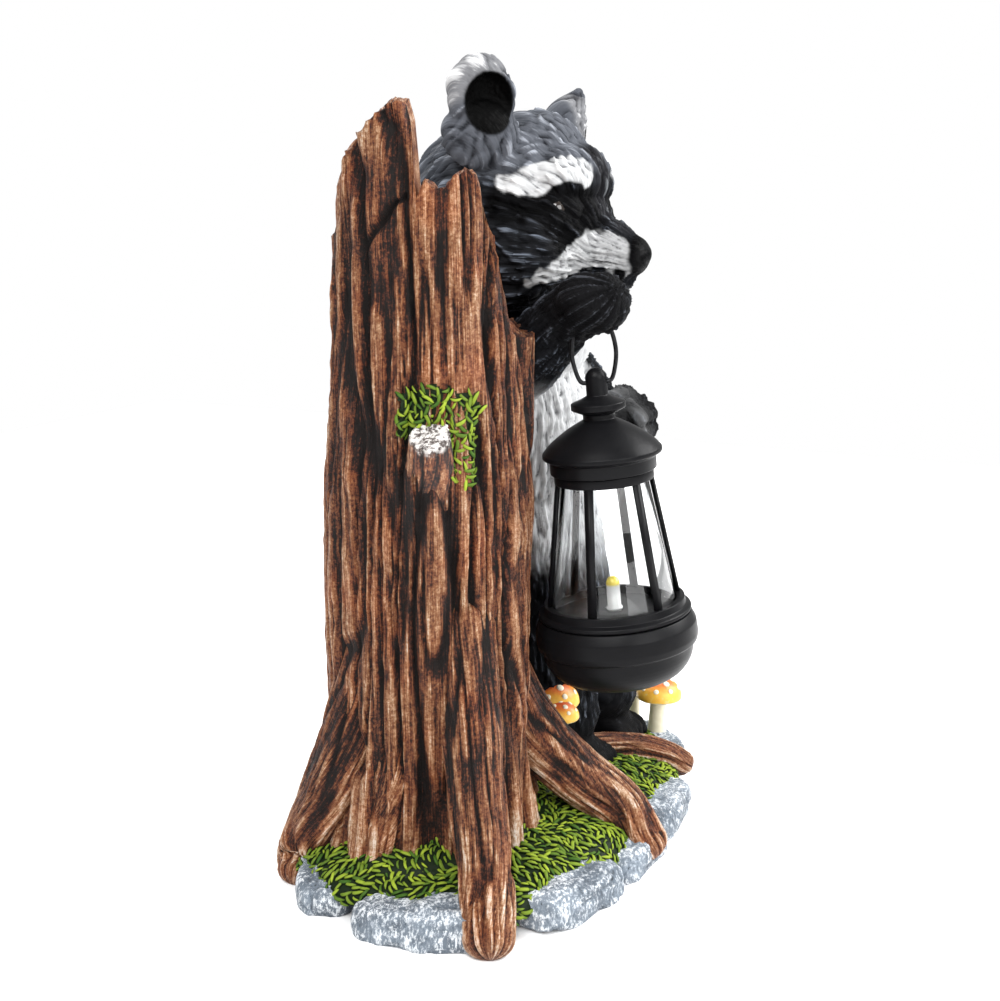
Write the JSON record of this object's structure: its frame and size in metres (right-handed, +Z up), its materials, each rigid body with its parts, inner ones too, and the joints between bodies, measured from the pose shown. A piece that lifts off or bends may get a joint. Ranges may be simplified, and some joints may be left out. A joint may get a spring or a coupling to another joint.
{
  "type": "solar raccoon garden statue",
  "caption": "Cast resin raccoon standing behind a broken tree stump on a rock-rimmed mossy base, one paw holding a small hanging lantern by its wire bail.",
  "frame": {"origin": "on the ground, under the middle of the base", "axes": "+Z up, -Y the way the raccoon faces, -X the raccoon's right, where the stump stands"},
  "size_m": [0.212, 0.151, 0.2988],
  "materials": {
    "painted_resin": "hand-painted cast resin with dark washes and dry-brushed highlights",
    "black_plastic": "satin black moulded plastic",
    "clear_plastic": "clear moulded plastic",
    "wire": "blackened steel wire",
    "led": "clear lamp lens over a yellow phosphor"
  },
  "bodies": {
    "root": {"statue_casting": "painted_resin", "lantern_bowl": "black_plastic", "lantern_cage": "black_plastic", "lantern_shade": "clear_plastic", "lantern_roof": "black_plastic", "lantern_led": "led", "lantern_bail": "wire"}
  },
  "joints": []
}
